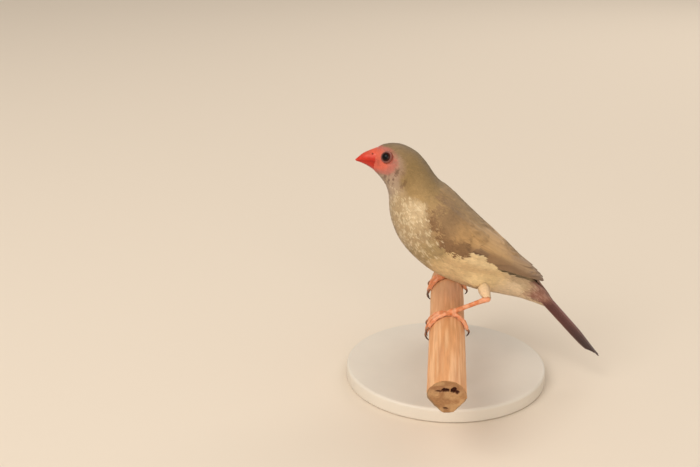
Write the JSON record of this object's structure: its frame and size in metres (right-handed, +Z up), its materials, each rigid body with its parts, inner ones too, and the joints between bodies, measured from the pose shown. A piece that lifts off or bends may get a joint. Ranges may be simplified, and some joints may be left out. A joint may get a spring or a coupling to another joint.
{
  "type": "star finch on a perch, display model",
  "caption": "Life-size still model of a small finch standing on a cut length of round perch, held above a flat round display base by short rods.",
  "frame": {"origin": "centre of the underside of the display base, straight below the bird", "axes": "+Z up, the bird faces -X, its left side is towards -Y, the perch runs along Y"},
  "size_m": [0.0914, 0.1021, 0.0865],
  "materials": {
    "plumage": "soft matte feathers, olive brown above, buff and cream below, red and pink face",
    "wing_feathers": "matte brown flight feathers with pale edges",
    "tail_feathers": "matte dull red-brown feathers",
    "bill": "smooth satin horn",
    "eye": "glossy dark",
    "leg_skin": "scaled satin skin with pale claws",
    "perch_wood": "worn bare softwood with a dark cut end",
    "stand_paint": "satin warm grey paint",
    "stand_metal": "satin steel"
  },
  "bodies": {
    "root": {"bill_upper": "bill", "bill_lower": "bill", "head": "plumage", "neck": "plumage", "torso": "plumage", "tail": "tail_feathers", "eye_left": "eye", "eye_right": "eye", "wing_left": "wing_feathers", "wing_right": "wing_feathers", "thigh_left": "plumage", "thigh_right": "plumage", "leg_left": "leg_skin", "leg_right": "leg_skin", "foot_left": "leg_skin", "foot_right": "leg_skin", "perch": "perch_wood", "stand_base": "stand_paint", "stand_rod_near": "stand_metal", "stand_rod_far": "stand_metal"}
  },
  "joints": []
}
